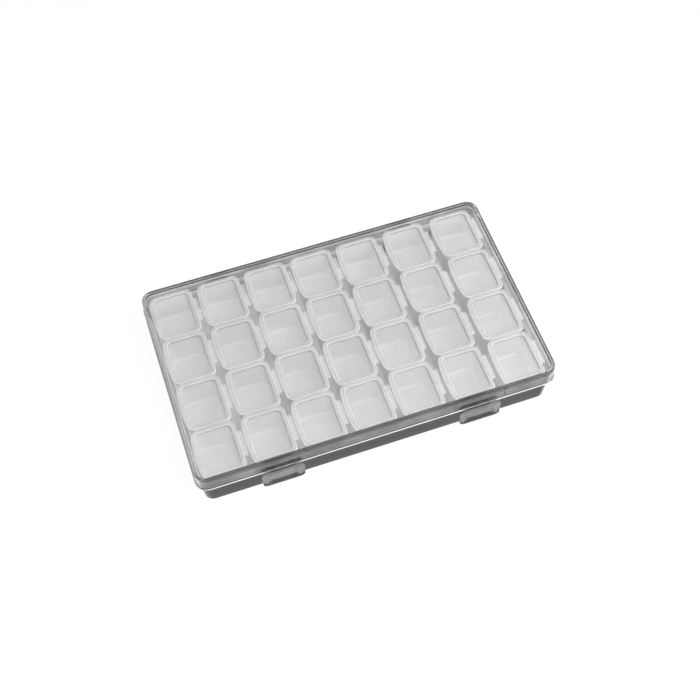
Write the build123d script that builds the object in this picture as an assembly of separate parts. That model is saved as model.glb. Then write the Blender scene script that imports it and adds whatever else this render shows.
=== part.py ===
from build123d import *
import os
from math import atan, cos, degrees, radians, sin

# Clear hinged storage case with seven lift-out strips of four lidded cups.
# Millimetres. X runs left to right, Y front to back and Z up.
# The origin is on the table, under the middle of the closed case with its latches and hinges.

# Cells: one cup with its lid. Places are measured from the middle of the see-through panel.
cell_rows = 4
cell_length = 25.0
cell_gap = 0.5
cell_left = 10.0
cell_right_extra = 0.3
cell_bow = 1.3
cell_corner = 3.0

# Corners that repeat over the cells are drawn as a few chords, which keeps the cells light.
cell_chords = 3
bow_chords = 4
cup_chords = 2

# Cups
cup_depth = 16.3
cup_wall = 0.7
cup_floor = 0.9
cup_mouth_corner = 3.2
cup_draft = 1.0
rim_margin = 0.8
rim_thickness = 1.0
rim_web_length = 1.5
rim_web_inset = 3.6

# Fold-over hinge of each cell lid
fold_reach = 1.9
fold_length = 12.5
fold_thickness = 0.5
fold_axis_inset = 0.3
fold_root = 1.5
shelf_drop = 0.3

# Cell lids
cell_lid_thickness = 0.9
cell_lid_seat_gap = 0.15
panel_drop = 1.3
panel_thickness = 0.6
pan_wall = 0.7
pan_side_gap = 0.3

# Strips and the play that they have in the case
strip_count = 7
strip_play = 5.3
strip_gap_shares = [0.094, 0.057, 0.057, 0.057, 0.057, 0.226, 0.302, 0.150]
strip_end_gap = 0.35
strip_seat_gap = 0.2

# Base tray
foot_height = 1.9
foot_width = 2.6
base_floor = 1.4
base_wall = 0.85
base_draft = 1.1
base_corner = 4.6
base_bottom_bevel = 0.9
head_room = 2.55
rim_top_gap = 0.25

# Case lid
lid_wall = 0.85
lid_top = 1.2
lid_rim_gap = 0.2
lid_draft = 0.25
lid_skirt_depth = 9.0
lid_top_bevel = 0.5
flange_out = 0.4
flange_height = 0.9
skirt_rib_width = 0.7
skirt_rib_out = 0.3
skirt_rib_offset = 12.3

# Front latch tongues
latch_spacing = 96.0
latch_width = 20.4
latch_length = 11.5
latch_thickness = 1.1
latch_out = 1.1
latch_corner = 3.0
latch_lip_height = 1.9
latch_lip_out = 0.4
latch_panel_width = 13.0
latch_panel_depth = 0.4
latch_panel_top_gap = 1.6
latch_stud_radius = 0.7
latch_stud_out = 0.35
latch_stud_inset = 1.9
latch_hook_reach = 1.3
latch_hook_height = 1.3
catch_gap = 0.3
catch_rise = 0.4
catch_height = 1.6

# Rear hinges
hinge_spacing = 96.0
hinge_out = 2.9
hinge_drop = 1.3
pin_radius = 1.1
pin_clearance = 0.08
knuckle_wall = 1.0
knuckle_width = 8.0
knuckle_mouth_width = 1.7
ear_thickness = 1.7
ear_side_gap = 0.4
ear_round = 1.9
ear_root = 5.0
ear_top_gap = 0.4

overrun = 1.0

# Sizes worked out from the above
cell_pitch = cell_length + cell_gap
cell_right = cell_left + cell_right_extra
cup_mouth_width = 2 * (cell_left - rim_margin)
cup_mouth_length = cell_length - 2 * rim_margin
strip_width = cell_left + cell_bow + cell_right + fold_reach
strip_length = cell_rows * cell_pitch - cell_gap
tray_top_length = strip_count * strip_width + strip_play
tray_top_width = strip_length + 2 * strip_end_gap
base_top_length = tray_top_length + 2 * base_wall
base_top_width = tray_top_width + 2 * base_wall
lid_top_length = base_top_length + 2 * (lid_rim_gap + lid_wall)
lid_top_width = base_top_width + 2 * (lid_rim_gap + lid_wall)
lid_corner = base_corner + lid_rim_gap + lid_wall

tray_floor_z = foot_height + base_floor
strip_z = tray_floor_z + strip_seat_gap
cup_floor_z = strip_z + cup_floor
rim_z = cup_floor_z + cup_depth
cell_lid_z = rim_z + cell_lid_seat_gap
cell_lid_top_z = cell_lid_z + cell_lid_thickness
lid_under_z = cell_lid_top_z + head_room
box_height = lid_under_z + lid_top
base_top_z = lid_under_z - rim_top_gap
flange_z = box_height - lid_skirt_depth

flange_y = lid_top_width / 2 + lid_draft + flange_out
hinge_y = lid_top_width / 2 + hinge_out
hinge_z = flange_z - hinge_drop
knuckle_bore = pin_radius + pin_clearance
knuckle_radius = knuckle_bore + knuckle_wall
latch_bottom_z = flange_z - latch_length
catch_z = latch_bottom_z + latch_hook_height + catch_rise
middle_y = (hinge_y + knuckle_radius - flange_y - latch_out - latch_lip_out) / 2


def strip_centres():
    """Panel middles of the strips, from left to right, with the play shared over the gaps."""
    edge = -tray_top_length / 2
    centres = []
    for share in strip_gap_shares[:strip_count]:
        edge += share * strip_play
        centres.append(edge + cell_left + cell_bow)
        edge += strip_width
    return centres


def row_centres():
    """Panel middles of the rows, from front to back."""
    return [(row - (cell_rows - 1) / 2) * cell_pitch for row in range(cell_rows)]


def corner_points(x, y, radius, start, chords):
    """Points on a quarter round about (x, y), from the start angle on."""
    turns = [radians(start + 90 * step / chords) for step in range(chords + 1)]
    return [(x + radius * cos(turn), y + radius * sin(turn)) for turn in turns]


def cell_face(right, left, length, radius, bow):
    """Outline of a cell: straight on the right, bowed out on the left."""
    y = length / 2 - radius
    points = corner_points(right - radius, y, radius, 0, cell_chords)
    points += corner_points(radius - left, y, radius, 90, cell_chords)
    for step in range(1, bow_chords):
        along = 1 - 2 * step / bow_chords
        points.append((-left - bow * (1 - along**2), y * along))
    points += corner_points(radius - left, -y, radius, 180, cell_chords)
    points += corner_points(right - radius, -y, radius, 270, cell_chords)
    return make_face(Polyline(*points, close=True))


def cup_face(width, length, radius):
    """Outline of a cup or of a lid's pan, the same on all sides."""
    x = width / 2 - radius
    y = length / 2 - radius
    points = corner_points(x, y, radius, 0, cup_chords)
    points += corner_points(-x, y, radius, 90, cup_chords)
    points += corner_points(-x, -y, radius, 180, cup_chords)
    points += corner_points(x, -y, radius, 270, cup_chords)
    return make_face(Polyline(*points, close=True))


def drafted(face, high_z, low_z, inset):
    """Block hung from a face at high_z, whose sides draw in by inset on the way down to low_z."""
    straight = Pos(0, 0, low_z) * extrude(face, high_z - low_z)
    sides = straight.faces() - straight.faces().filter_by(Axis.Z)
    return draft(sides, Plane.XY.offset(high_z), -degrees(atan(inset / (high_z - low_z))))


def drafted_tray(length, width, corner, high_z, low_z, inset):
    """Drafted block with its four leaning corners rounded."""
    tray = drafted(Rectangle(length, width), high_z, low_z, inset)
    corners = tray.edges().filter_by_position(Axis.Z, low_z, high_z, inclusive=(False, False))
    return fillet(corners, corner)


def block(x_low, x_high, y_low, y_high, z_low, z_high):
    """Straight block between named limits."""
    size = Box(x_high - x_low, y_high - y_low, z_high - z_low)
    return Pos((x_low + x_high) / 2, (y_low + y_high) / 2, (z_low + z_high) / 2) * size


def make_cell_lid():
    """Lid of one cell: rim plate, recessed see-through panel and its half of the fold."""
    outline = cell_face(cell_right, cell_left, cell_length, cell_corner, cell_bow)
    pan_width = cup_mouth_width - 2 * pan_side_gap
    pan_length = cup_mouth_length - 2 * pan_side_gap
    pan_corner = cup_mouth_corner - pan_side_gap
    pan_face = cup_face(pan_width, pan_length, pan_corner)
    well_face = cup_face(pan_width - 2 * pan_wall, pan_length - 2 * pan_wall, pan_corner - pan_wall)
    pan_depth = panel_drop + panel_thickness - cell_lid_thickness
    lid = extrude(outline, cell_lid_thickness)
    lid += Pos(0, 0, -pan_depth) * extrude(pan_face, pan_depth)
    fold_low = cell_right - fold_root
    fold_high = cell_right + fold_reach
    lid += block(fold_low, fold_high, -fold_length / 2, fold_length / 2, 0, fold_thickness)
    lid -= Pos(0, 0, cell_lid_thickness - panel_drop) * extrude(well_face, panel_drop + overrun)
    return lid


def make_strip():
    """Strip of cups: tapered cups hung from rims that short webs join, with the folds' lower halves."""
    rim_face = cell_face(cell_right, cell_left, cell_length, cell_corner, cell_bow)
    outer_width = cup_mouth_width + 2 * cup_wall
    outer_length = cup_mouth_length + 2 * cup_wall
    outer = cup_face(outer_width, outer_length, cup_mouth_corner + cup_wall)
    mouth = cup_face(cup_mouth_width, cup_mouth_length, cup_mouth_corner)
    rim_low_z = rim_z - rim_thickness
    cell = drafted(outer, rim_z, strip_z, cup_draft)
    cell += Pos(0, 0, rim_low_z) * extrude(rim_face, rim_thickness)
    cell += block(
        cell_right - fold_root,
        cell_right + fold_reach,
        -fold_length / 2,
        fold_length / 2,
        rim_low_z,
        rim_z - shelf_drop,
    )
    cell -= drafted(mouth, rim_z, cup_floor_z, cup_draft)
    web = block(
        rim_web_inset - cell_left,
        cell_right - rim_web_inset,
        -rim_web_length / 2,
        rim_web_length / 2,
        rim_low_z,
        rim_z,
    )
    cells = [Pos(0, y, 0) * cell for y in row_centres()]
    webs = [Pos(0, y + cell_pitch / 2, 0) * web for y in row_centres()[:-1]]
    strip = cells[0]
    for piece in cells[1:] + webs:
        strip += piece
    return strip


def wall_y(z):
    """Half the depth of the drafted tray at height z, outside."""
    return base_top_width / 2 - base_draft * (base_top_z - z) / base_top_z


def along_x(profile, width):
    """Solid of a profile drawn in Y and Z, centred on X."""
    return extrude(Plane.YZ * profile, width / 2, both=True)


def make_hinge_ears():
    """Two ears on the tray's back wall with the fixed pin between them."""
    inner = knuckle_width / 2 + ear_side_gap
    web = Polygon(
        (wall_y(hinge_z) - base_wall / 2, flange_z - ear_top_gap),
        (wall_y(hinge_z - ear_root) - base_wall / 2, hinge_z - ear_root),
        (hinge_y, hinge_z - ear_round),
        (hinge_y, flange_z - ear_top_gap),
        align=None,
    )
    ear = along_x(web + Pos(hinge_y, hinge_z) * Circle(ear_round), ear_thickness)
    pin = along_x(Pos(hinge_y, hinge_z) * Circle(pin_radius), 2 * inner + ear_thickness)
    centre = inner + ear_thickness / 2
    return Pos(-centre, 0, 0) * ear + Pos(centre, 0, 0) * ear + pin


def make_catch():
    """Wedge on the tray's front wall, just above a latch's hook."""
    tip_y = flange_y - latch_hook_reach - catch_gap
    wedge = Polygon(
        (-wall_y(catch_z) + base_wall / 2, catch_z),
        (-tip_y, catch_z),
        (-wall_y(catch_z + catch_height) + base_wall / 2, catch_z + catch_height),
        align=None,
    )
    return along_x(wedge, latch_panel_width)


def make_base():
    """Drafted tray with a foot, hinge ears with their pins, and catches for the latches."""
    tray = drafted_tray(base_top_length, base_top_width, base_corner, base_top_z, 0, base_draft)
    tray = chamfer(tray.faces().sort_by(Axis.Z)[0].edges(), base_bottom_bevel)
    for side in (-1, 1):
        tray += Pos(side * hinge_spacing / 2, 0, 0) * make_hinge_ears()
        tray += Pos(side * latch_spacing / 2, 0, 0) * make_catch()
    well_corner = base_corner - base_wall
    well_inset = base_draft * (base_top_z - tray_floor_z) / base_top_z
    tray -= drafted_tray(tray_top_length, tray_top_width, well_corner, base_top_z, tray_floor_z, well_inset)
    foot_inset = base_draft + base_bottom_bevel + foot_width
    foot_well_length = base_top_length - 2 * foot_inset
    foot_well_width = base_top_width - 2 * foot_inset
    tray -= extrude(RectangleRounded(foot_well_length, foot_well_width, well_corner), foot_height)
    return tray


def make_latch():
    """Tongue that hangs from the flange, with a lip, a sunk panel, two studs and a hook inside."""
    height = latch_length + flange_height
    face = Pos(0, latch_bottom_z + height / 2) * Rectangle(latch_width, height)
    face = fillet(face.vertices().group_by(Axis.Y)[0], latch_corner)
    front = flange_y + latch_out
    tongue = extrude(Plane.XZ.offset(front - latch_thickness) * face, latch_thickness)
    band = Pos(0, latch_bottom_z + latch_lip_height / 2) * Rectangle(latch_width, latch_lip_height)
    tongue += extrude(Plane.XZ.offset(front) * (face & band), latch_lip_out)
    panel_low = latch_bottom_z + latch_lip_height
    panel_high = flange_z - latch_panel_top_gap
    panel = Pos(0, (panel_low + panel_high) / 2) * Rectangle(latch_panel_width, panel_high - panel_low)
    tongue -= extrude(Plane.XZ.offset(front - latch_panel_depth) * panel, latch_panel_depth)
    stud_x = latch_width / 2 - latch_stud_inset
    stud_z = panel_low + latch_stud_radius
    for side in (-1, 1):
        stud = Pos(side * stud_x, stud_z) * Circle(latch_stud_radius)
        tongue += extrude(Plane.XZ.offset(front) * stud, latch_stud_out)
    inside = front - latch_thickness
    hook = Polygon(
        (-inside, latch_bottom_z),
        (-inside, latch_bottom_z + latch_hook_height),
        (latch_hook_reach - flange_y, latch_bottom_z + latch_hook_height),
        align=None,
    )
    return tongue + along_x(hook, latch_panel_width)


def make_knuckle():
    """Snap knuckle of the lid round the tray's pin, open below, with its arm from the flange."""
    ring = Pos(hinge_y, hinge_z) * Circle(knuckle_radius)
    arm_high = hinge_z + knuckle_radius
    arm_low_y = lid_top_width / 2
    arm = Pos((arm_low_y + hinge_y) / 2, (flange_z + arm_high) / 2) * Rectangle(
        hinge_y - arm_low_y, arm_high - flange_z
    )
    bore = Pos(hinge_y, hinge_z) * Circle(knuckle_bore)
    mouth = Pos(hinge_y, hinge_z - knuckle_radius) * Rectangle(knuckle_mouth_width, 2 * knuckle_radius)
    return along_x(ring + arm - bore - mouth, knuckle_width)


def make_case_lid():
    """Clear lid: flat top, flared skirt, flange, front latches and rear knuckles."""
    lid = drafted_tray(lid_top_length, lid_top_width, lid_corner, box_height, flange_z, -lid_draft)
    lid = chamfer(lid.faces().sort_by(Axis.Z)[-1].edges(), lid_top_bevel)
    reach = lid_draft + flange_out
    flange = RectangleRounded(lid_top_length + 2 * reach, lid_top_width + 2 * reach, lid_corner + reach)
    lid += Pos(0, 0, flange_z) * extrude(flange, flange_height)
    rib_top = box_height - lid_top_bevel
    for x in (-latch_spacing / 2, latch_spacing / 2):
        for side in (-1, 1):
            rib_x = x + side * skirt_rib_offset
            lid += block(
                rib_x - skirt_rib_width / 2,
                rib_x + skirt_rib_width / 2,
                -lid_top_width / 2 - skirt_rib_out,
                -lid_top_width / 2 + lid_wall,
                flange_z,
                rib_top,
            )
    well_length = lid_top_length - 2 * lid_wall
    well_width = lid_top_width - 2 * lid_wall
    lid -= drafted_tray(well_length, well_width, lid_corner - lid_wall, lid_under_z, flange_z, -lid_draft)
    for side in (-1, 1):
        lid += Pos(side * latch_spacing / 2, 0, 0) * make_latch()
        lid += Pos(side * hinge_spacing / 2, 0, 0) * make_knuckle()
    return lid


os.makedirs("parts", exist_ok=True)
to_middle = Pos(0, -middle_y, 0)
export_step(to_middle * make_base(), "parts/base_tray.step")
export_step(to_middle * make_case_lid(), "parts/case_lid.step")
strip = make_strip()
cell_lid = make_cell_lid()
for number, x in enumerate(strip_centres(), start=1):
    export_step(to_middle * Pos(x, 0, 0) * strip, f"parts/strip_{number}.step")
    for row, y in enumerate(row_centres(), start=1):
        export_step(to_middle * Pos(x, y, cell_lid_z) * cell_lid, f"parts/cell_lid_{number}_{row}.step")
print("overall", lid_top_length + 2 * (lid_draft + flange_out), 2 * flange_y, box_height)
print("case hinge at", hinge_y - middle_y, hinge_z)
print("fold at", cell_right + fold_reach - fold_axis_inset, cell_lid_z + fold_thickness / 2)
print("strips at", strip_centres(), "rows at", [y - middle_y for y in row_centres()])
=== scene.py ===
import bpy
import bmesh
from math import pi, radians
from mathutils import Matrix, Vector


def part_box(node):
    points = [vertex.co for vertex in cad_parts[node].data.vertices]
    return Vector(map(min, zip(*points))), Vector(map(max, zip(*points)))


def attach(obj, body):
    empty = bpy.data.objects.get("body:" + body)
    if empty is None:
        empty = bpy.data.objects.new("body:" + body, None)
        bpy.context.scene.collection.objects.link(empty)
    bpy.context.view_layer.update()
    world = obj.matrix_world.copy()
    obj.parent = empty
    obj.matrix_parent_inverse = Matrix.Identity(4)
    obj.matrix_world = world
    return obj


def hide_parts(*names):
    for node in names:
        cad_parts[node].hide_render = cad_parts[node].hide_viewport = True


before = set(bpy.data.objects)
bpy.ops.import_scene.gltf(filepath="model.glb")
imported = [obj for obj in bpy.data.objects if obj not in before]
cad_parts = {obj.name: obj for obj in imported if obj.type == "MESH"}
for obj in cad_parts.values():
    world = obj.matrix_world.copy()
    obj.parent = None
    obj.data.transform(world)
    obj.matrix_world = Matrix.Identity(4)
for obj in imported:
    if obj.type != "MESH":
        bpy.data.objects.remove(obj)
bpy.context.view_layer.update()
scene = bpy.context.scene
mm = 0.001
tiny = 1e-4
slack = 0.01
print("frame loaded:", len(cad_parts), "nodes")


# Every moulded shell is a stack of rounded loops, drawn in mm, bridged and then bevelled.

moulding = {
    "levelStep": 30.0,
    "sharpAngle": 38,
    "normalWeight": 100,
}


def roundedLoop(bm, xLow, xHigh, yHalf, z, radius, bow=0.0, cuts=0, segments=6):
    before = set(bm.faces)

    def newFace():
        return next(f for f in bm.faces if f not in before)

    bmesh.ops.create_grid(bm, x_segments=1, y_segments=1, size=0.5)
    face = newFace()
    for v in face.verts:
        v.co = Vector((xLow if v.co.x < 0 else xHigh, -yHalf if v.co.y < 0 else yHalf, z))
    if cuts:
        side = next(e for e in face.edges if all(abs(v.co.x - xLow) < tiny for v in e.verts))
        cut = bmesh.ops.subdivide_edges(bm, edges=[side], cuts=cuts)
        for v in cut["geom_inner"]:
            if isinstance(v, bmesh.types.BMVert):
                v.co.x -= bow * (1 - (v.co.y / yHalf) ** 2)
        face = newFace()
    corners = [v for v in face.verts if abs(abs(v.co.y) - yHalf) < tiny]
    bmesh.ops.bevel(bm, geom=corners, offset=radius, offset_type="OFFSET", segments=segments,
                    profile=0.5, affect="VERTICES", material=-1)
    face = newFace()
    edges = list(face.edges)
    bmesh.ops.delete(bm, geom=[face], context="FACES_ONLY")
    return edges


def stackLoops(bm, loops):
    # flat rings bridge wrongly, so each loop goes to a level of its own and comes back to its height after
    heights = [loop[0].verts[0].co.z for loop in loops]
    for level, loop in enumerate(loops):
        for v in {v for e in loop for v in e.verts}:
            v.co.z = moulding["levelStep"] * level
    for lower, upper in zip(loops, loops[1:]):
        bmesh.ops.bridge_loops(bm, edges=lower + upper)
    for height, loop in zip(heights, loops):
        for v in {v for e in loop for v in e.verts}:
            v.co.z = height
    bmesh.ops.contextual_create(bm, geom=loops[0])
    bmesh.ops.contextual_create(bm, geom=loops[-1])
    bmesh.ops.recalc_face_normals(bm, faces=bm.faces[:])
    if bm.calc_volume(signed=True) < 0:
        bmesh.ops.reverse_faces(bm, faces=bm.faces[:])


def softenEdges(bm, edges, width, segments=2):
    live = [e for e in edges if e.is_valid]
    bmesh.ops.bevel(bm, geom=live, offset=width, offset_type="OFFSET", segments=segments,
                    profile=0.5, affect="EDGES", material=-1)


def addBlock(bm, low, high, edge):
    made = bmesh.ops.create_cube(bm, size=1.0)
    for v in made["verts"]:
        v.co = Vector(high[i] if v.co[i] > 0 else low[i] for i in range(3))
    edges = {e for v in made["verts"] for e in v.link_edges}
    softenEdges(bm, list(edges), edge)


def newVerts(made):
    return [v for v in made["geom"] if isinstance(v, bmesh.types.BMVert)]


def toMesh(bm, name, scale=mm):
    bmesh.ops.transform(bm, matrix=Matrix.Scale(scale, 4), verts=bm.verts[:])
    mesh = bpy.data.meshes.new(name)
    bm.to_mesh(mesh)
    bm.free()
    return mesh


def toPiece(bm, name, body, materials, hides=()):
    addPiece(toMesh(bm, name), name, body, materials, hides)


def addPiece(mesh, name, body, materials, hides=()):
    mesh.shade_smooth()
    mesh.set_sharp_from_angle(angle=radians(moulding["sharpAngle"]))
    piece = bpy.data.objects.new(name, mesh)
    scene.collection.objects.link(piece)
    for material in materials:
        mesh.materials.append(material)
    faceNormals = piece.modifiers.new("faceNormals", "WEIGHTED_NORMAL")
    faceNormals.keep_sharp = True
    faceNormals.weight = moulding["normalWeight"]
    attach(piece, body)
    if hides:
        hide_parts(*hides)


# Materials

def newMaterial(name):
    mat = bpy.data.materials.new(name)
    mat.use_nodes = True
    mat.node_tree.nodes.clear()
    return mat, mat.node_tree.nodes, mat.node_tree.links


def objectNoise(nodes, links, scale, detail, roughness=0.5):
    coords = nodes.new("ShaderNodeTexCoord")
    noise = nodes.new("ShaderNodeTexNoise")
    noise.inputs["Scale"].default_value = scale
    noise.inputs["Detail"].default_value = detail
    noise.inputs["Roughness"].default_value = roughness
    links.new(coords.outputs["Object"], noise.inputs["Vector"])
    return noise


def mapRange(nodes, links, source, low, high, fromLow=0.3, fromHigh=0.7):
    ranged = nodes.new("ShaderNodeMapRange")
    ranged.inputs["From Min"].default_value = fromLow
    ranged.inputs["From Max"].default_value = fromHigh
    ranged.inputs["To Min"].default_value = low
    ranged.inputs["To Max"].default_value = high
    links.new(source, ranged.inputs["Value"])
    return ranged.outputs["Result"]


def strongest(nodes, links, first, second):
    either = nodes.new("ShaderNodeMath")
    either.operation = "MAXIMUM"
    links.new(first, either.inputs[0])
    links.new(second, either.inputs[1])
    return either.outputs[0]


def mixShaders(nodes, links, share, first, second):
    # the share of the second shader is a number or a socket
    mix = nodes.new("ShaderNodeMixShader")
    if isinstance(share, float):
        mix.inputs["Fac"].default_value = share
    else:
        links.new(share, mix.inputs["Fac"])
    links.new(first, mix.inputs[1])
    links.new(second, mix.inputs[2])
    return mix.outputs["Shader"]


clearPlastic = {
    "tall": 0.0256,
    "ior": 1.5,
    "clear": 1.0,
    "cloud": 0.1,
    "cloudScale": 75,
    "cloudDetail": 2,
    "wear": 0.012,
    "wearScale": 60,
    "wearDetail": 4,
    "wearRough": 0.6,
    "shadow": (0.95, 0.95, 0.95, 1),
}
lidTopLook = clearPlastic | {
    "greys": ((0.0, 0.955), (0.0256, 0.955)),
    "cloud": 0.012,
    "wear": 0.0036,
}
# painted bands: the skirt's greys by height stand for reflection and shade, dark and pale stripes on one
# clear plastic
lidWallPaintedBandsLook = clearPlastic | {
    "greys": ((0.0166, 0.36), (0.0172, 0.54), (0.0178, 0.66), (0.0184, 0.6), (0.0194, 0.33), (0.0204, 0.36),
              (0.0216, 0.72), (0.0229, 0.64), (0.0239, 0.34), (0.0251, 0.28)),
    "cloud": 0.15,
}
# painted light and shade: the right side is painted paler than the skirt, with a painted dark band along its
# top edge
lidRightPaintedLook = clearPlastic | {
    "greys": ((0.0166, 0.7), (0.0194, 0.65), (0.0216, 0.9), (0.0246, 0.9), (0.0249, 0.08), (0.0256, 0.06)),
}
# painted shade: the left side is painted darker than the right side
lidLeftShadeLook = clearPlastic | {
    "greys": ((0.0166, 0.5), (0.0190, 0.42), (0.0200, 0.3), (0.0210, 0.44), (0.0240, 0.46), (0.0256, 0.5)),
}
# painted highlight: the front flange is made milky and pale so that it shows as a bright line along the lid's
# lower edge
flangeHighlightLook = clearPlastic | {
    "greys": ((0.0, 0.78), (0.0256, 0.78)),
    "clear": 0.05,
    "cloud": 0.06,
}
# painted shade: the tray's outer wall is tinted near black at its foot and grey higher up, darker towards the
# bottom
trayWallShadeLook = clearPlastic | {
    "ior": 1.33,
    "greys": ((0.0, 0.0005), (0.0055, 0.0008), (0.0080, 0.008), (0.0105, 0.04), (0.0130, 0.13),
              (0.0180, 0.42)),
    "cloud": 0.3,
    "shadow": (0.92, 0.92, 0.92, 1),
}
# painted shade: the tray's floor is tinted darker than its upper walls, and shows as dark gaps between the
# cups
trayInsideShadeLook = clearPlastic | {
    "greys": ((0.0, 0.44), (0.0034, 0.44), (0.0040, 0.5), (0.0185, 0.65), (0.0215, 0.95), (0.0240, 0.95)),
    "cloud": 0.15,
    "shadow": (0.92, 0.92, 0.92, 1),
}
# painted shade: latches, catches and hinges are tinted dark at their foot and greyer towards their top
fittingShadeLook = clearPlastic | {
    "greys": ((0.0066, 0.1), (0.0072, 0.7), (0.0140, 0.74), (0.0160, 0.4)),
    "clear": 0.965,
    "cloud": 0.2,
    "shadow": (0.9, 0.9, 0.9, 1),
}


def heightRamp(nodes, links, height, levels):
    ramp = nodes.new("ShaderNodeValToRGB")
    stops = ramp.color_ramp.elements
    tall = clearPlastic["tall"]
    stops[0].position = levels[0][0] / tall
    stops[1].position = levels[-1][0] / tall
    for z, grey in levels[1:-1]:
        stops.new(z / tall)
    for stop, (z, grey) in zip(stops, levels):
        stop.color = (grey, grey, grey, 1)
    links.new(height, ramp.inputs["Fac"])
    return ramp.outputs["Color"]


def makeClearCase(name, look):
    # clear polished polystyrene; lamps pass through it straight, as through a thin pane
    mat, nodes, links = newMaterial(name)
    output = nodes.new("ShaderNodeOutputMaterial")
    glass = nodes.new("ShaderNodeBsdfPrincipled")
    glass.inputs["IOR"].default_value = look["ior"]
    glass.inputs["Transmission Weight"].default_value = look["clear"]
    coords = nodes.new("ShaderNodeTexCoord")
    split = nodes.new("ShaderNodeSeparateXYZ")
    links.new(coords.outputs["Object"], split.inputs["Vector"])
    height = mapRange(nodes, links, split.outputs["Z"], 0, 1, 0.0, look["tall"])
    cloud = objectNoise(nodes, links, look["cloudScale"], look["cloudDetail"])
    depth = mapRange(nodes, links, cloud.outputs["Fac"], 1 - look["cloud"], 1 + look["cloud"])
    grey = nodes.new("ShaderNodeVectorMath")
    grey.operation = "SCALE"
    # the greys by height are where each look paints its bands of shade, reflection and highlight
    links.new(heightRamp(nodes, links, height, look["greys"]), grey.inputs["Vector"])
    links.new(depth, grey.inputs["Scale"])
    links.new(grey.outputs["Vector"], glass.inputs["Base Color"])
    wear = objectNoise(nodes, links, look["wearScale"], look["wearDetail"], look["wearRough"])
    links.new(mapRange(nodes, links, wear.outputs["Fac"], 0, look["wear"]), glass.inputs["Roughness"])
    straight = nodes.new("ShaderNodeBsdfTransparent")
    straight.inputs["Color"].default_value = look["shadow"]
    path = nodes.new("ShaderNodeLightPath")
    lampRay = strongest(nodes, links, path.outputs["Is Shadow Ray"], path.outputs["Is Diffuse Ray"])
    surface = mixShaders(nodes, links, lampRay, glass.outputs["BSDF"], straight.outputs["BSDF"])
    links.new(surface, output.inputs["Surface"])
    return mat


def makeFrosted(name, look):
    # milky polypropylene: a thin veil over what is behind it, thicker where it is seen edge on
    mat, nodes, links = newMaterial(name)
    output = nodes.new("ShaderNodeOutputMaterial")
    body = nodes.new("ShaderNodeBsdfPrincipled")
    cloud = objectNoise(nodes, links, look["cloudScale"], look["cloudDetail"])
    tint = nodes.new("ShaderNodeMix")
    tint.data_type = "RGBA"
    tint.inputs["A"].default_value = look["colourLow"]
    tint.inputs["B"].default_value = look["colourHigh"]
    links.new(mapRange(nodes, links, cloud.outputs["Fac"], 0, 1), tint.inputs["Factor"])
    links.new(tint.outputs["Result"], body.inputs["Base Color"])
    rub = objectNoise(nodes, links, look["rubScale"], look["rubDetail"])
    rough = mapRange(nodes, links, rub.outputs["Fac"], look["roughLow"], look["roughHigh"])
    links.new(rough, body.inputs["Roughness"])
    edgeOn = nodes.new("ShaderNodeLayerWeight")
    edgeOn.inputs["Blend"].default_value = look["edgeBlend"]
    veil = mapRange(nodes, links, edgeOn.outputs["Facing"], look["veilFlat"], look["veilEdge"], 0.0, 1.0)
    clear = nodes.new("ShaderNodeBsdfTransparent")
    glow = nodes.new("ShaderNodeBsdfTranslucent")
    links.new(tint.outputs["Result"], glow.inputs["Color"])
    milk = mixShaders(nodes, links, look["glow"], body.outputs["BSDF"], glow.outputs["BSDF"])
    surface = mixShaders(nodes, links, veil, clear.outputs["BSDF"], milk)
    links.new(surface, output.inputs["Surface"])
    return mat


milkyPlastic = {
    "cloudScale": 120,
    "cloudDetail": 3,
    "rubScale": 340,
    "rubDetail": 2,
    "roughLow": 0.2,
    "roughHigh": 0.32,
    "edgeBlend": 0.35,
}
cupLook = milkyPlastic | {
    "colourLow": (0.74, 0.731, 0.727, 1),
    "colourHigh": (0.8, 0.791, 0.787, 1),
    "cloudScale": 90,
    "roughLow": 0.28,
    "roughHigh": 0.42,
    "glow": 0.35,
    "veilFlat": 0.36,
    "veilEdge": 0.75,
}
# painted highlight: rounded edges are paler and more opaque than the border, for bright lines along the rims
edgeHighlightLook = milkyPlastic | {
    "colourLow": (0.7, 0.691, 0.687, 1),
    "colourHigh": (0.77, 0.761, 0.757, 1),
    "cloudScale": 160,
    "roughLow": 0.1,
    "roughHigh": 0.2,
    "glow": 0.1,
    "veilFlat": 0.55,
    "veilEdge": 0.85,
}
# painted shade: flat faces of the cups, their floors and bottoms, are darker than the walls
cupFloorShadeLook = milkyPlastic | {
    "colourLow": (0.64, 0.631, 0.627, 1),
    "colourHigh": (0.7, 0.691, 0.687, 1),
    "cloudScale": 90,
    "roughLow": 0.28,
    "roughHigh": 0.42,
    "glow": 0.3,
    "veilFlat": 0.4,
    "veilEdge": 0.6,
}
# painted shade: the flat rims and lid borders are darker than the panels and cup walls
borderShadeLook = milkyPlastic | {
    "colourLow": (0.62, 0.611, 0.607, 1),
    "colourHigh": (0.7, 0.691, 0.687, 1),
    "glow": 0.2,
    "veilFlat": 0.26,
    "veilEdge": 0.6,
}
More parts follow.
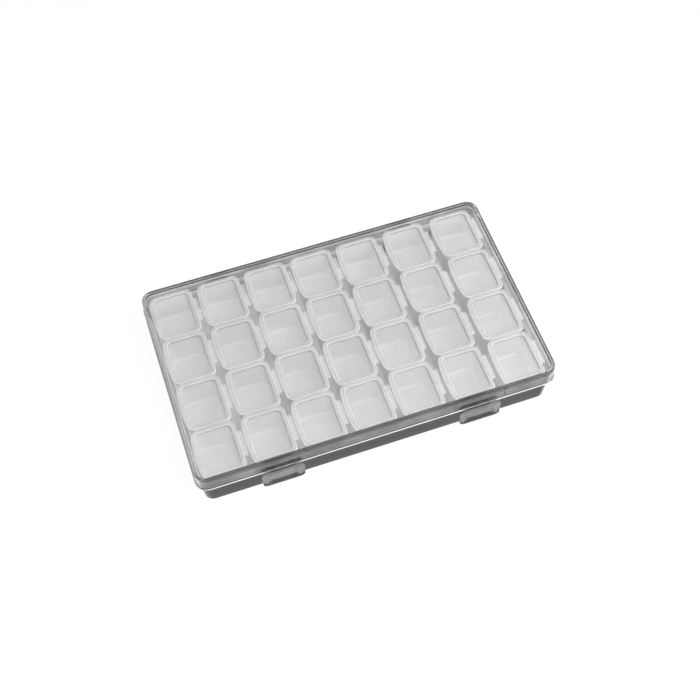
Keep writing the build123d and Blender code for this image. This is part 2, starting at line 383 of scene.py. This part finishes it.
# painted shade line: the walls of each lid's well are dark, a thin painted shadow round the panel
shadeLineLook = milkyPlastic | {
    "colourLow": (0.36, 0.355, 0.35, 1),
    "colourHigh": (0.44, 0.435, 0.43, 1),
    "glow": 0.1,
    "veilFlat": 0.45,
    "veilEdge": 0.6,
}
panelLook = milkyPlastic | {
    "colourLow": (0.76, 0.751, 0.747, 1),
    "colourHigh": (0.82, 0.811, 0.807, 1),
    "roughHigh": 0.34,
    "glow": 0.2,
    "veilFlat": 0.16,
    "veilEdge": 0.4,
}
lidTopPlastic = makeClearCase("clearLidTop", lidTopLook)
lidWallPaintedBands = makeClearCase("clearLidWallPaintedBands", lidWallPaintedBandsLook)
lidRightPaintedPlastic = makeClearCase("clearLidRightPainted", lidRightPaintedLook)
lidLeftShadePlastic = makeClearCase("clearLidLeftPaintedShade", lidLeftShadeLook)
flangeHighlightPlastic = makeClearCase("milkyFlangePaintedHighlight", flangeHighlightLook)
trayWallShadePlastic = makeClearCase("clearTrayWallPaintedShade", trayWallShadeLook)
trayInsideShadePlastic = makeClearCase("clearTrayInsidePaintedShade", trayInsideShadeLook)
fittingShadePlastic = makeClearCase("clearFittingsPaintedShade", fittingShadeLook)
cupPlastic = makeFrosted("milkyCupWall", cupLook)
cupFloorShadePlastic = makeFrosted("milkyCupFloorPaintedShade", cupFloorShadeLook)
edgeHighlightPlastic = makeFrosted("milkyEdgePaintedHighlight", edgeHighlightLook)
borderShadeAndDotsPlastic = makeFrosted("milkyBorderShadeAndDots", borderShadeLook)
panelPlastic = makeFrosted("milkyPanel", panelLook)
shadeLinePlastic = makeFrosted("milkyPaintedShadeLine", shadeLineLook)
print("materials ready")


# Strips of four cups: one mould for all the strips, and one for all the lids of the cells

cellOutline = {
    "strips": 7,
    "rows": 4,
    "pitch": 25.5,
    "left": 10.0,
    "right": 10.3,
    "halfLength": 12.5,
    "corner": 3.0,
    "bow": 1.3,
    "bowCuts": 5,
    "foldFrom": 8.9,
    "foldTo": 12.2,
    "foldHalf": 6.25,
    "foldRound": 0.15,
}


def evenLoop(bm, half, z, radius):
    return roundedLoop(bm, -half[0], half[0], half[1], z, radius, 0, cellOutline["bowCuts"])


def bowedLoop(bm, z):
    o = cellOutline
    return roundedLoop(bm, -o["left"], o["right"], o["halfLength"], z, o["corner"], o["bow"], o["bowCuts"])


def addFold(bm, lowZ, highZ):
    o = cellOutline
    addBlock(bm, (o["foldFrom"], -o["foldHalf"], lowZ), (o["foldTo"], o["foldHalf"], highZ), o["foldRound"])


def placeCopy(mould, name, node, z, materials):
    # the mould's x = 0 lies one fold's reach to the left of the solid's right side
    low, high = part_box(node)
    mesh = mould.copy()
    mesh.name = name
    mesh.transform(Matrix.Translation((high[0] - cellOutline["foldTo"] * mm, (low[1] + high[1]) / 2, z)))
    addPiece(mesh, name, node, materials, (node,))


cupStrip = {
    "bottomZ": 3.5,
    "floorZ": 4.4,
    "rimTopZ": 20.7,
    "rimLowZ": 19.7,
    "shelfZ": 20.4,
    "mouthHalf": (9.2, 11.7),
    "mouthCorner": 3.2,
    "floorHalf": (8.2, 10.7),
    "floorCorner": 3.0,
    "outerHalf": (9.85, 12.35),
    "outerCorner": 3.8,
    "bottomHalf": (8.9, 11.4),
    "bottomCorner": 3.6,
    "webHalf": 0.75,
    "webFrom": -6.4,
    "webTo": 6.7,
    "innerRound": 1.4,
    "outerRound": 1.6,
    "rimRound": 0.22,
    "webRound": 0.12,
    "flatFrom": 0.97,
    "edgeFrom": 0.2,
}


def makeStripMould():
    s = cupStrip
    rows, pitch = cellOutline["rows"], cellOutline["pitch"]
    bm = bmesh.new()
    loops = [
        evenLoop(bm, s["floorHalf"], s["floorZ"], s["floorCorner"]),
        evenLoop(bm, s["mouthHalf"], s["rimTopZ"], s["mouthCorner"]),
        bowedLoop(bm, s["rimTopZ"]),
        bowedLoop(bm, s["rimLowZ"]),
        evenLoop(bm, s["outerHalf"], s["rimLowZ"], s["outerCorner"]),
        evenLoop(bm, s["bottomHalf"], s["bottomZ"], s["bottomCorner"]),
    ]
    stackLoops(bm, loops)
    softenEdges(bm, loops[0], s["innerRound"], 4)
    softenEdges(bm, loops[5], s["outerRound"], 4)
    softenEdges(bm, loops[1] + loops[2] + loops[3], s["rimRound"])
    addFold(bm, s["rimLowZ"], s["shelfZ"])
    one = bm.verts[:] + bm.edges[:] + bm.faces[:]
    bmesh.ops.translate(bm, verts=bm.verts[:], vec=Vector((0, (1 - rows) / 2 * pitch, 0)))
    for row in range(1, rows):
        copy = bmesh.ops.duplicate(bm, geom=one)
        bmesh.ops.translate(bm, verts=newVerts(copy), vec=Vector((0, row * pitch, 0)))
    for row in range(1, rows):
        y = (row - rows / 2) * pitch
        addBlock(bm, (s["webFrom"], y - s["webHalf"], s["rimLowZ"]),
                 (s["webTo"], y + s["webHalf"], s["rimTopZ"]), s["webRound"])
    bm.normal_update()
    # bevel faces take the painted highlight, rim faces the painted border shade, flat faces the painted floor
    # shade, the rest the cup wall
    wall, border, edge, floor = range(4)
    for f in bm.faces:
        onRim = f.calc_center_median().z > s["rimLowZ"] - slack
        onEdge = s["edgeFrom"] < f.normal.z < s["flatFrom"]
        isFlat = abs(f.normal.z) > s["flatFrom"]
        f.material_index = edge if onEdge else border if onRim else floor if isFlat else wall
    return toMesh(bm, "stripMould")


cellLid = {
    "plate": 0.9,
    "edgeRound": 0.34,
    "wellHalf": (8.2, 10.7),
    "wellCorner": 2.2,
    "wellTopHalf": (8.35, 10.85),
    "wellTopCorner": 2.3,
    "panHalf": (8.9, 11.4),
    "panCorner": 2.9,
    "panelTopZ": -0.4,
    "panelLowZ": -1.0,
    "underRound": 0.2,
    "panRound": 0.3,
    "foldThick": 0.5,
    "flatFrom": 0.999,
    "edgeLowZ": 0.4,
}


def makeLidMould():
    c = cellLid
    bm = bmesh.new()
    loops = [
        evenLoop(bm, c["wellHalf"], c["panelTopZ"], c["wellCorner"]),
        evenLoop(bm, c["wellTopHalf"], c["plate"], c["wellTopCorner"]),
        bowedLoop(bm, c["plate"]),
        bowedLoop(bm, 0),
        evenLoop(bm, c["panHalf"], 0, c["panCorner"]),
        evenLoop(bm, c["panHalf"], c["panelLowZ"], c["panCorner"]),
    ]
    stackLoops(bm, loops)
    softenEdges(bm, loops[0], c["edgeRound"], 3)
    softenEdges(bm, loops[1] + loops[2], c["edgeRound"], 4)
    softenEdges(bm, loops[3], c["underRound"])
    softenEdges(bm, loops[5], c["panRound"])
    addFold(bm, 0, c["foldThick"])
    bm.normal_update()
    # flat faces in the well and on the fold take the panel, sloped faces above the plate's foot the painted
    # highlight, the well's walls the painted shade line, the rest the painted border shade
    panel, border, edge, shadeLine = range(4)
    for f in bm.faces:
        middle = f.calc_center_median()
        inWell = abs(middle.x) < c["wellTopHalf"][0] and abs(middle.y) < c["wellTopHalf"][1]
        if abs(f.normal.z) > c["flatFrom"]:
            f.material_index = panel if inWell or middle.x > cellOutline["right"] else border
        elif middle.z > c["edgeLowZ"]:
            f.material_index = edge
        else:
            f.material_index = shadeLine if inWell else border
    return toMesh(bm, "lidMould")


stripMould = makeStripMould()
stripPlastics = (cupPlastic, borderShadeAndDotsPlastic, edgeHighlightPlastic, cupFloorShadePlastic)
for number in range(1, cellOutline["strips"] + 1):
    placeCopy(stripMould, f"cupStrip_{number}", f"strip_{number}", 0, stripPlastics)
bpy.data.meshes.remove(stripMould)
print("cup strips done")

lidMould = makeLidMould()
lidPlastics = (panelPlastic, borderShadeAndDotsPlastic, edgeHighlightPlastic, shadeLinePlastic)
for number in range(1, cellOutline["strips"] + 1):
    for row in range(1, cellOutline["rows"] + 1):
        node = f"cell_lid_{number}_{row}"
        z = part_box(node)[1][2] - cellLid["plate"] * mm
        placeCopy(lidMould, f"cellLid_{number}_{row}", node, z, lidPlastics)
bpy.data.meshes.remove(lidMould)
print("cell lids done")


# Clear case: the lid's shell, its latches and knuckles, and the tray

caseMiddleY = -1.465
caseLid = {
    "topHalf": (86.8, 53.0),
    "flare": 0.25,
    "corner": 5.65,
    "topZ": 25.5,
    "underZ": 24.3,
    "flangeTopZ": 17.4,
    "flangeLowZ": 16.5,
    "flangeOut": 0.4,
    "wall": 0.85,
    "cornerCuts": 10,
    "topBevel": 0.55,
    "plateBorder": 1.0,
    "wallFlare": 0.9,
    "filletRound": 0.15,
    "flangeRound": 0.2,
    "lowRound": 0.12,
    "underRound": 0.35,
    "ribOffsets": (-60.3, -35.7, 35.7, 60.3),
    "ribHalf": 0.35,
    "ribOut": 0.3,
    "ribIn": 0.3,
    "ribRound": 0.1,
    "middleReach": 1,
    "flatFrom": 0.99,
    "frontFrom": 0.6,
}


def makeCaseLid():
    c = caseLid
    bm = bmesh.new()
    x, y = c["topHalf"]
    flare, out, wall = c["flare"], c["flangeOut"], c["wall"]
    corner, border = c["corner"], c["plateBorder"]

    def ring(grow, z, radius):
        return roundedLoop(bm, -x - grow, x + grow, y + grow, z, radius, segments=c["cornerCuts"])

    loops = [
        ring(-border, c["topZ"], corner - border),
        ring(0, c["topZ"], corner),
        ring(flare * c["wallFlare"], c["flangeTopZ"], corner),
        ring(flare + out, c["flangeTopZ"], corner + out),
        ring(flare + out, c["flangeLowZ"], corner + out),
        ring(flare - wall, c["flangeLowZ"], corner - wall),
        ring(-wall, c["underZ"], corner - wall),
    ]
    stackLoops(bm, loops)
    softenEdges(bm, loops[1], c["topBevel"], 4)
    softenEdges(bm, loops[2], c["filletRound"])
    softenEdges(bm, loops[3] + loops[4], c["flangeRound"])
    softenEdges(bm, loops[5], c["lowRound"])
    softenEdges(bm, loops[6], c["underRound"], 3)
    for offset in c["ribOffsets"]:
        addBlock(bm, (offset - c["ribHalf"], -y - c["ribOut"], c["flangeLowZ"]),
                 (offset + c["ribHalf"], c["ribIn"] - y, c["topZ"] - c["topBevel"]), c["ribRound"])
    bm.normal_update()
    plastics = (lidTopPlastic, lidWallPaintedBands, flangeHighlightPlastic, lidRightPaintedPlastic, lidLeftShadePlastic)
    top, skirt, flange, right, left = range(len(plastics))
    reach = c["middleReach"]
    for f in bm.faces:
        middle = f.calc_center_median()
        inMiddle = abs(middle.x) < reach and abs(middle.y) < reach
        onFrontBorder = abs(middle.x) < reach and middle.y <= -reach and f.normal.z > c["flatFrom"]
        onFlange = f.normal.y < -c["frontFrom"] and middle.y < -y and middle.z < c["flangeTopZ"] - 2 * slack
        onSide = abs(middle.x) > x - border and abs(middle.y) < y - corner
        # the top plate takes the plain clear tint; the flange's front faces take the painted highlight, the
        # two sides their painted light and shade, the rest of the skirt its painted bands
        if middle.z > c["underZ"] - slack and (inMiddle or onFrontBorder):
            f.material_index = top
        elif onFlange:
            f.material_index = flange
        elif onSide:
            f.material_index = right if middle.x > 0 else left
        else:
            f.material_index = skirt
    bmesh.ops.translate(bm, verts=bm.verts[:], vec=Vector((0, caseMiddleY, 0)))
    toPiece(bm, "caseLidShell", "lid", plastics, ("case_lid",))


latch = {
    "spacing": 96.0,
    "half": 10.2,
    "topZ": 17.4,
    "bottomZ": 5.0,
    "frontY": -54.75,
    "thick": 1.1,
    "corner": 3.0,
    "cornerCuts": 6,
    "edgeRound": 0.12,
    "sharpFrom": 40,
    "frontFrom": 0.9,
    "panelHalf": 6.5,
    "panelLowZ": 6.9,
    "panelHighZ": 14.9,
    "panelDeep": 0.4,
    "panelSlope": 0.25,
    "lipHigh": 1.9,
    "lipOut": 0.4,
    "lipIn": 0.3,
    "studX": 8.3,
    "studZ": 7.6,
    "studRadius": 0.5,
    "studFlat": 0.5,
    "studSides": 20,
    "studRings": 12,
    "hookHalf": 6.5,
    "hookReach": 1.3,
    "hookIn": 0.1,
    "hookHigh": 1.3,
    "hookTip": 0.15,
    "hookRise": 0.1,
    "catchZ": 6.7,
    "catchHigh": 1.6,
    "catchTipY": -52.05,
    "catchRootY": -50.7,
    "catchRound": 0.06,
}


def latchPlate(bm, depth):
    # the tongue's outline with its two round lower corners, as a slab of the given depth behind y = 0
    k = latch
    before = set(bm.verts)
    bmesh.ops.create_grid(bm, x_segments=1, y_segments=1, size=0.5)
    corners = [v for v in bm.verts if v not in before]
    for v in corners:
        v.co = Vector((k["half"] if v.co.x > 0 else -k["half"], 0, k["topZ"] if v.co.y > 0 else k["bottomZ"]))
    lower = [v for v in corners if v.co.z < k["topZ"]]
    bmesh.ops.bevel(bm, geom=lower, offset=k["corner"], offset_type="OFFSET", segments=k["cornerCuts"],
                    profile=0.5, affect="VERTICES", material=-1)
    face = next(f for f in bm.faces if all(v not in before for v in f.verts))
    back = newVerts(bmesh.ops.extrude_face_region(bm, geom=[face]))
    bmesh.ops.translate(bm, verts=back, vec=Vector((0, depth, 0)))


def cutPlane(bm, point, normal, clearOuter=False):
    bmesh.ops.bisect_plane(bm, geom=bm.verts[:] + bm.edges[:] + bm.faces[:], plane_co=point, plane_no=normal,
                           clear_outer=clearOuter)


def softenRims(bm):
    rims = [e for e in bm.edges if e.calc_face_angle(0) > radians(latch["sharpFrom"])]
    softenEdges(bm, rims, latch["edgeRound"])


def makeLatch(name, x):
    k = latch
    bm = bmesh.new()
    latchPlate(bm, k["thick"])
    bmesh.ops.recalc_face_normals(bm, faces=bm.faces[:])
    # the sunk panel: cut the front face along the panel's sides and push the middle in
    for x0 in (-k["panelHalf"], k["panelHalf"]):
        cutPlane(bm, (x0, 0, 0), (1, 0, 0))
    for z0 in (k["panelLowZ"], k["panelHighZ"]):
        cutPlane(bm, (0, 0, z0), (0, 0, 1))
    panel = [f for f in bm.faces if f.normal.y < -k["frontFrom"]
             and abs(f.calc_center_median().x) < k["panelHalf"]
             and k["panelLowZ"] < f.calc_center_median().z < k["panelHighZ"]]
    bmesh.ops.inset_region(bm, faces=panel, thickness=k["panelSlope"], depth=-k["panelDeep"],
                           use_even_offset=True)
    softenRims(bm)
    lip = bmesh.new()
    latchPlate(lip, k["lipOut"] + k["lipIn"])
    cutPlane(lip, (0, 0, k["bottomZ"] + k["lipHigh"]), (0, 0, 1), True)
    bmesh.ops.holes_fill(lip, edges=[e for e in lip.edges if e.is_boundary])
    bmesh.ops.recalc_face_normals(lip, faces=lip.faces[:])
    softenRims(lip)
    bmesh.ops.translate(lip, verts=lip.verts[:], vec=Vector((0, -k["lipOut"], 0)))
    lipMesh = toMesh(lip, "latchLip", 1.0)
    bm.from_mesh(lipMesh)
    bpy.data.meshes.remove(lipMesh)
    for side in (-1, 1):
        dome = bmesh.ops.create_uvsphere(bm, u_segments=k["studSides"], v_segments=k["studRings"],
                                         radius=k["studRadius"])
        for v in dome["verts"]:
            v.co = Vector((v.co.x + side * k["studX"], v.co.y * k["studFlat"], v.co.z + k["studZ"]))
        # the studs take the milky border plastic and show as pale dots on the clear tongue: painted
        # highlights
        for f in {f for v in dome["verts"] for f in v.link_faces}:
            f.material_index = 1
    hook = bmesh.ops.create_cube(bm, size=1.0)
    for v in hook["verts"]:
        tip = v.co.y > 0
        under = k["hookHigh"] - k["hookTip"] if tip else k["hookRise"]
        v.co = Vector((k["hookHalf"] if v.co.x > 0 else -k["hookHalf"],
                       k["thick"] + (k["hookReach"] if tip else -k["hookIn"]),
                       k["bottomZ"] + (k["hookHigh"] if v.co.z > 0 else under)))
    bmesh.ops.translate(bm, verts=bm.verts[:], vec=Vector((x, k["frontY"] + caseMiddleY, 0)))
    toPiece(bm, name, "lid", (fittingShadePlastic, borderShadeAndDotsPlastic))


def makeCatch(name, x):
    # wedge on the tray's front wall, above the latch's hook
    k = latch
    bm = bmesh.new()
    root, low = k["catchRootY"], k["catchZ"]
    corners = [(root, low), (k["catchTipY"], low), (root, low + k["catchHigh"])]
    side = bm.faces.new([bm.verts.new((-k["hookHalf"], y, z)) for y, z in corners])
    far = newVerts(bmesh.ops.extrude_face_region(bm, geom=[side]))
    bmesh.ops.translate(bm, verts=far, vec=Vector((2 * k["hookHalf"], 0, 0)))
    bmesh.ops.recalc_face_normals(bm, faces=bm.faces[:])
    softenEdges(bm, bm.edges[:], k["catchRound"])
    bmesh.ops.translate(bm, verts=bm.verts[:], vec=Vector((x, caseMiddleY, 0)))
    toPiece(bm, name, "tray", (fittingShadePlastic,))


hinge = {
    "spacing": 96.0,
    "y": 55.9,
    "z": 15.2,
    "pinRadius": 1.1,
    "bore": 1.18,
    "ring": 2.18,
    "width": 8.0,
    "earThick": 1.7,
    "earGap": 0.4,
    "earRound": 1.9,
    "earTop": 0.9,
    "earRoot": 3.1,
    "earIn": 0.6,
    "draftShare": 0.35,
    "lowRoundShare": 0.98,
    "highRoundShare": 0.45,
    "pinSides": 32,
    "mouthAngle": 48,
    "spinSteps": 36,
    "armRound": 0.12,
}


def makeKnuckle(name, x):
    # a ring open below, spun from its cross-section, and the arm that carries it from the lid's flange
    h = hinge
    bm = bmesh.new()
    half = h["width"] / 2
    start = bmesh.ops.create_grid(bm, x_segments=1, y_segments=1, size=0.5)
    for v in start["verts"]:
        v.co = Vector((half if v.co.x > 0 else -half, h["ring"] if v.co.y > 0 else h["bore"], 0))
    gap = radians(h["mouthAngle"])
    turn = Matrix.Rotation(-pi / 2 + gap / 2, 3, "X")
    bmesh.ops.rotate(bm, verts=start["verts"], matrix=turn, cent=(0, 0, 0))
    bmesh.ops.spin(bm, geom=bm.verts[:] + bm.edges[:] + bm.faces[:], cent=(0, 0, 0), axis=(1, 0, 0),
                   angle=2 * pi - gap, steps=h["spinSteps"], use_duplicate=False)
    bmesh.ops.holes_fill(bm, edges=[e for e in bm.edges if e.is_boundary])
    bmesh.ops.recalc_face_normals(bm, faces=bm.faces[:])
    armLow = caseLid["topHalf"][1] - h["y"]
    addBlock(bm, (-half, armLow, caseLid["flangeLowZ"] - h["z"]), (half, 0, h["ring"]), h["armRound"])
    bmesh.ops.translate(bm, verts=bm.verts[:], vec=Vector((x, h["y"] + caseMiddleY, h["z"])))
    toPiece(bm, name, "lid", (fittingShadePlastic,))


tray = {
    "topHalf": (85.75, 51.95),
    "innerHalf": (84.9, 51.1),
    "draft": 1.1,
    "corner": 4.6,
    "innerCorner": 3.75,
    "topZ": 24.05,
    "floorZ": 3.3,
    "footZ": 1.9,
    "footWidth": 2.6,
    "cornerCuts": 9,
    "bottomBevel": 0.45,
    "floorRound": 0.8,
    "rimRound": 0.18,
    "footRound": 0.3,
    "rimBand": 0.1,
    "outwardFrom": 1.0,
}


def makeTray():
    t = tray
    bm = bmesh.new()
    draft = t["draft"]
    innerDraft = draft * (t["topZ"] - t["floorZ"]) / t["topZ"]
    footIn = draft + t["bottomBevel"] + t["footWidth"]

    def ring(half, inward, z, radius):
        x, y = half
        return roundedLoop(bm, inward - x, x - inward, y - inward, z, radius, segments=t["cornerCuts"])

    loops = [
        ring(t["innerHalf"], innerDraft, t["floorZ"], t["innerCorner"]),
        ring(t["innerHalf"], 0, t["topZ"], t["innerCorner"]),
        ring(t["topHalf"], 0, t["topZ"], t["corner"]),
        ring(t["topHalf"], draft, 0, t["corner"]),
        ring(t["topHalf"], footIn, 0, t["innerCorner"]),
        ring(t["topHalf"], footIn, t["footZ"], t["innerCorner"]),
    ]
    stackLoops(bm, loops)
    softenEdges(bm, loops[3], t["bottomBevel"], 4)
    softenEdges(bm, loops[0], t["floorRound"], 3)
    softenEdges(bm, loops[1] + loops[2], t["rimRound"])
    softenEdges(bm, loops[4] + loops[5], t["footRound"])
    bm.normal_update()
    # outer wall faces below the rim take the wall's painted shade, the rim and inside the inside's painted
    # shade
    for f in bm.faces:
        middle = f.calc_center_median()
        outside = f.normal.x * middle.x + f.normal.y * middle.y > t["outwardFrom"]
        f.material_index = 0 if outside and middle.z < t["topZ"] - t["rimBand"] else 1
    bmesh.ops.translate(bm, verts=bm.verts[:], vec=Vector((0, caseMiddleY, 0)))
    plastics = (trayWallShadePlastic, trayInsideShadePlastic)
    toPiece(bm, "trayShell", "tray", plastics, ("base_tray",))


def makeTrayHinge(name, x):
    # two ears on the back wall and the fixed pin between them
    h = hinge
    bm = bmesh.new()
    wallY = tray["topHalf"][1] - tray["draft"] * h["draftShare"]
    inner = h["width"] / 2 + h["earGap"]
    low, high = h["z"] - h["earRound"], h["z"] + h["earTop"]
    for side in (-1, 1):
        ear = bmesh.ops.create_cube(bm, size=1.0)
        earX = inner if side > 0 else -inner - h["earThick"]
        for v in ear["verts"]:
            atWall = v.co.y < 0
            v.co = Vector((earX + (h["earThick"] if v.co.x > 0 else 0),
                           wallY - h["earIn"] if atWall else h["y"] + h["earRound"],
                           high if v.co.z > 0 else low - (h["earRoot"] if atWall else 0)))
        outer = [e for e in {e for v in ear["verts"] for e in v.link_edges}
                 if all(v.co.y > h["y"] for v in e.verts) and abs(e.verts[0].co.x - e.verts[1].co.x) > slack]
        for e in outer:
            share = h["lowRoundShare"] if e.verts[0].co.z < h["z"] else h["highRoundShare"]
            softenEdges(bm, [e], h["earRound"] * share, 6)
    pin = bmesh.ops.create_cone(bm, cap_ends=True, radius1=h["pinRadius"], radius2=h["pinRadius"],
                                depth=2 * inner + h["earThick"], segments=h["pinSides"])
    bmesh.ops.rotate(bm, verts=pin["verts"], cent=(0, 0, 0), matrix=Matrix.Rotation(pi / 2, 3, "Y"))
    bmesh.ops.translate(bm, verts=pin["verts"], vec=Vector((0, h["y"], h["z"])))
    bmesh.ops.recalc_face_normals(bm, faces=bm.faces[:])
    bmesh.ops.translate(bm, verts=bm.verts[:], vec=Vector((x, caseMiddleY, 0)))
    toPiece(bm, name, "tray", (fittingShadePlastic,))


makeCaseLid()
makeTray()
for label, side in (("left", -1), ("right", 1)):
    latchX = side * latch["spacing"] / 2
    hingeX = side * hinge["spacing"] / 2
    makeLatch(f"latchTongue_{label}", latchX)
    makeCatch(f"latchCatch_{label}", latchX)
    makeKnuckle(f"hingeKnuckle_{label}", hingeX)
    makeTrayHinge(f"hingeEars_{label}", hingeX)
print("clear case done")


# Camera, from the case's corners in the photograph

camera = {
    "azimuth": radians(-17.818),
    "elevation": radians(59.327),
    "roll": radians(-1.327),
    "distance": 0.5477,
    "target": Vector((-0.000955, -0.012005, 0.0255)),
    "focalPixels": 1169.144,
    "picturePixels": 700,
    "sensor": 36,
    "clipStart": 0.01,
}


def placeCamera():
    c = camera
    lensData = bpy.data.cameras.new("photoView")
    lensData.lens = c["focalPixels"] * c["sensor"] / c["picturePixels"]
    lensData.sensor_width = c["sensor"]
    lensData.clip_start = c["clipStart"]
    eye = bpy.data.objects.new("photoView", lensData)
    scene.collection.objects.link(eye)
    turned = Matrix.Rotation(c["azimuth"], 3, "Z") @ Matrix.Rotation(pi / 2 - c["elevation"], 3, "X")
    rolled = turned @ Matrix.Rotation(c["roll"], 3, "Z")
    back = rolled.col[2]
    eye.matrix_world = Matrix.Translation(c["target"] + back * c["distance"]) @ rolled.to_4x4()
    scene.camera = eye


placeCamera()


# Studio: pale floor, soft lamps and a white background

studio = {
    "floorSize": 3.0,
    "floorColour": (0.75, 0.75, 0.75, 1),
    "whiteShare": 0.94,
    "ambient": 0.85,
    "wallGrey": (0.12, 0.12, 0.125, 1),
    "wallTop": 0.15,
    "ceilingGrey": (0.6, 0.6, 0.61, 1),
    "ceilingFrom": 0.8,
    "clearBounces": 32,
}


def showsWhite(nodes, links, share):
    # the plain white is for rays straight from the camera, in gloss and through the clear plastic
    path = nodes.new("ShaderNodeLightPath")
    bent = strongest(nodes, links, path.outputs["Is Glossy Ray"], path.outputs["Is Transmission Ray"])
    part = nodes.new("ShaderNodeMath")
    part.operation = "MULTIPLY"
    part.inputs[1].default_value = share
    links.new(strongest(nodes, links, bent, path.outputs["Is Camera Ray"]), part.inputs[0])
    return part.outputs[0]


def makeFloor():
    bm = bmesh.new()
    bmesh.ops.create_grid(bm, x_segments=2, y_segments=2, size=studio["floorSize"] / 2)
    mesh = toMesh(bm, "paleFloor", 1.0)
    floor = bpy.data.objects.new("paleFloor", mesh)
    scene.collection.objects.link(floor)
    mat, nodes, links = newMaterial("paleFloor")
    output = nodes.new("ShaderNodeOutputMaterial")
    matte = nodes.new("ShaderNodeBsdfDiffuse")
    matte.inputs["Color"].default_value = studio["floorColour"]
    white = nodes.new("ShaderNodeEmission")
    share = showsWhite(nodes, links, studio["whiteShare"])
    surface = mixShaders(nodes, links, share, matte.outputs["BSDF"], white.outputs["Emission"])
    links.new(surface, output.inputs["Surface"])
    mesh.materials.append(mat)


def makeWorld():
    world = bpy.data.worlds.new("studioWorld")
    world.use_nodes = True
    scene.world = world
    nodes, links = world.node_tree.nodes, world.node_tree.links
    nodes.clear()
    output = nodes.new("ShaderNodeOutputWorld")
    # grey walls round the table and a bright ceiling, for the light that falls on the object
    coords = nodes.new("ShaderNodeTexCoord")
    split = nodes.new("ShaderNodeSeparateXYZ")
    links.new(coords.outputs["Generated"], split.inputs["Vector"])
    ramp = nodes.new("ShaderNodeValToRGB")
    wall, ceiling = ramp.color_ramp.elements
    wall.position, wall.color = studio["wallTop"], studio["wallGrey"]
    ceiling.position, ceiling.color = studio["ceilingFrom"], studio["ceilingGrey"]
    links.new(split.outputs["Z"], ramp.inputs["Fac"])
    soft = nodes.new("ShaderNodeBackground")
    soft.inputs["Strength"].default_value = studio["ambient"]
    links.new(ramp.outputs["Color"], soft.inputs["Color"])
    white = nodes.new("ShaderNodeBackground")
    white.inputs["Color"].default_value = (1, 1, 1, 1)
    share = showsWhite(nodes, links, 1.0)
    surface = mixShaders(nodes, links, share, soft.outputs["Background"], white.outputs["Background"])
    links.new(surface, output.inputs["Surface"])


lamps = {
    "frontLamp": {"place": (0.1, -0.27, 0.25), "size": 0.4, "watts": 0.5},
    "lowLamp": {"place": (0.12, -0.6, 0.24), "size": 0.4, "watts": 0.6},
    "topLamp": {"place": (0.18, -0.32, 0.76), "size": 0.6, "watts": 8.2},
    "sideLamp": {"place": (0.36, -0.2, 0.32), "size": 0.3, "watts": 1.0},
    "backLamp": {"place": (-0.6, 0.7, 0.42), "size": 0.7, "watts": 2.5},
}


def makeLamps():
    for name, lamp in lamps.items():
        data = bpy.data.lights.new(name, "AREA")
        data.energy = lamp["watts"]
        data.shape = "SQUARE"
        data.size = lamp["size"]
        light = bpy.data.objects.new(name, data)
        scene.collection.objects.link(light)
        light.visible_transmission = False
        light.visible_glossy = False
        place = Vector(lamp["place"])
        light.matrix_world = Matrix.Translation(place) @ place.to_track_quat("Z", "Y").to_matrix().to_4x4()


makeFloor()
makeWorld()
makeLamps()
scene.view_settings.view_transform = "Standard"
scene.cycles.transparent_max_bounces = studio["clearBounces"]
print("studio done")
